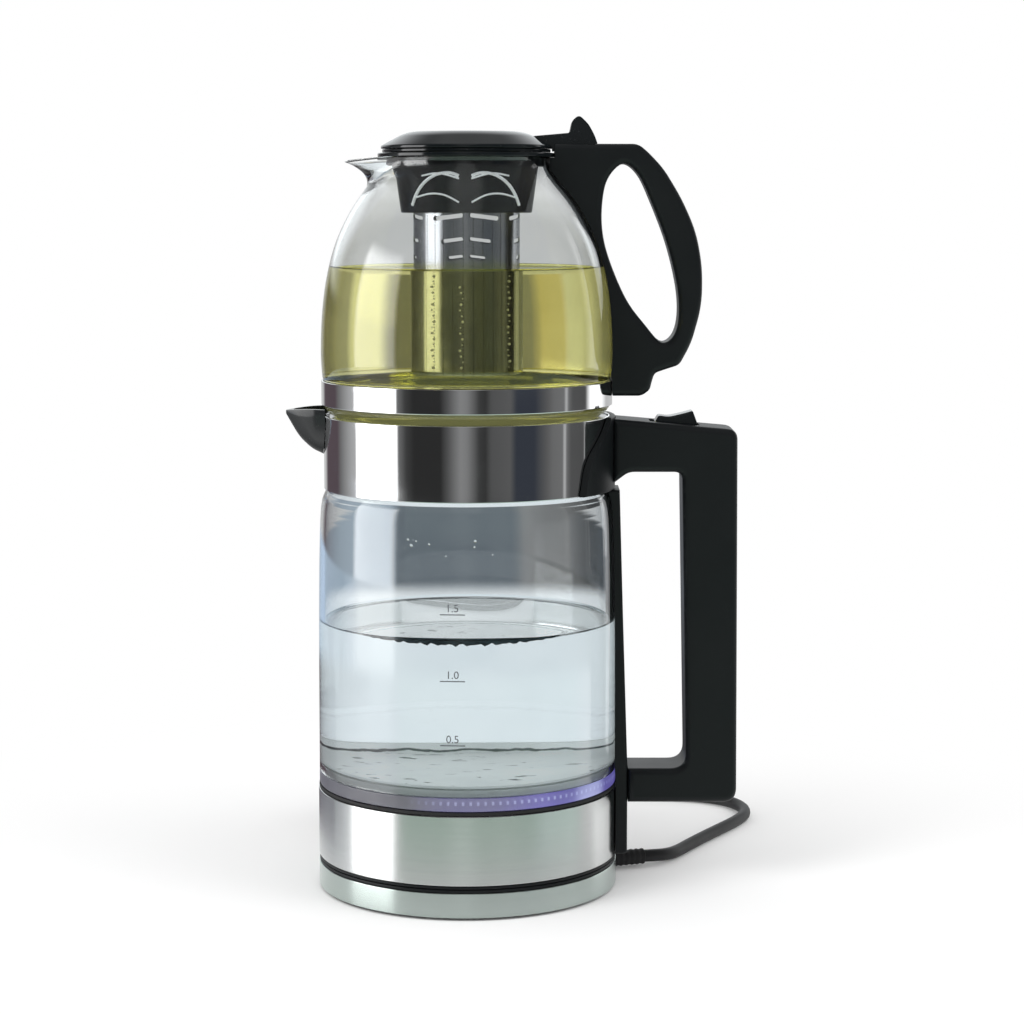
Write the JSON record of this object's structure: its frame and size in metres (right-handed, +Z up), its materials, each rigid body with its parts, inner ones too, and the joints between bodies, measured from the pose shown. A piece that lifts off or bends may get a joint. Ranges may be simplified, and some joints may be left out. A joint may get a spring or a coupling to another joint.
{
  "type": "automatic tea maker",
  "caption": "Double tea maker: glass teapot with lift-out infuser and hinged lid on a lit glass kettle with a box handle and rocker switch, on a corded cordless base.",
  "frame": {"origin": "on the kettle's axis, at the underside of the power base, where it rests on the worktop", "axes": "+Z up along the axis of kettle and teapot, +X towards the handles, -X towards the two spouts, +Y away from the viewer of the picture"},
  "size_m": [0.2457, 0.2669, 0.3841],
  "materials": {
    "brushed_steel": "horizontally brushed stainless steel",
    "polished_steel": "polished stainless steel",
    "black_gloss": "glossy black moulded plastic",
    "black_satin": "satin black moulded plastic",
    "clear_glass": "clear borosilicate glass",
    "violet_diffuser": "translucent diffuser lit violet",
    "soft_rubber": "black rubber",
    "clear_silicone": "milky silicone",
    "contact_brass": "plain brass",
    "bare_aluminium": "bare aluminium",
    "inner_moulding": "pale heat-proof moulding"
  },
  "bodies": {
    "base": {"base_plate": "black_satin", "base_band": "brushed_steel", "base_cover": "black_satin", "connector_post": "black_satin", "contact_ring_outer": "contact_brass", "contact_ring_inner": "contact_brass", "rubber_foot_1": "soft_rubber", "rubber_foot_2": "soft_rubber", "rubber_foot_3": "soft_rubber", "rubber_foot_4": "soft_rubber", "base_screw_1": "bare_aluminium", "base_screw_2": "bare_aluminium", "base_screw_3": "bare_aluminium", "cord_relief": "soft_rubber", "terminal_block": "inner_moulding", "mains_cord": "soft_rubber", "cord_coil": "soft_rubber", "cord_tail": "soft_rubber", "cord_tie": "black_satin", "mains_plug": "soft_rubber", "plug_pin_1": "contact_brass", "plug_pin_2": "contact_brass"},
    "kettle": {"kettle_skirt": "brushed_steel", "kettle_bottom": "black_satin", "kettle_socket": "black_satin", "earth_pin": "contact_brass", "thermostat_control": "inner_moulding", "heating_element": "bare_aluminium", "heat_spreader": "bare_aluminium", "heater_plate": "polished_steel", "skirt_gasket": "soft_rubber", "led_board": "inner_moulding", "led_ring": "violet_diffuser", "glass_seal": "clear_silicone", "kettle_glass": "clear_glass", "collar_seal": "clear_silicone", "kettle_collar": "polished_steel", "mouth_ring": "black_gloss", "kettle_spout": "black_gloss", "handle_bracket": "black_gloss", "kettle_handle": "black_satin", "handle_strip": "black_satin", "strip_screw": "bare_aluminium", "switch_module": "inner_moulding"},
    "switch": {"rocker_switch": "black_gloss", "rocker_pin": "bare_aluminium"},
    "teapot": {"teapot_glass": "clear_glass", "teapot_band": "polished_steel", "neck_ring": "black_gloss", "teapot_handle": "black_satin", "band_screw": "bare_aluminium"},
    "infuser": {"infuser_holder": "black_gloss", "infuser_filter": "brushed_steel"},
    "lid": {"teapot_lid": "black_gloss", "lid_hinge_pin": "bare_aluminium"}
  },
  "joints": [
    {"name": "kettle_lift", "type": "slide", "parent": "base", "child": "kettle", "axis": [0, 0, 1], "range_m": [0, 0.08]},
    {"name": "switch_rock", "type": "hinge", "parent": "kettle", "child": "switch", "pos_m": [0.103, 0, 0.2295], "axis": [0, 1, 0], "range_deg": [0, 12]},
    {"name": "teapot_lift", "type": "slide", "parent": "kettle", "child": "teapot", "axis": [0, 0, 1], "range_m": [0, 0.1]},
    {"name": "infuser_lift", "type": "slide", "parent": "teapot", "child": "infuser", "axis": [0, 0, 1], "range_m": [0, 0.13]},
    {"name": "lid_open", "type": "hinge", "parent": "infuser", "child": "lid", "pos_m": [0.061, 0, 0.367], "axis": [0, 1, 0], "range_deg": [0, 75]}
  ]
}
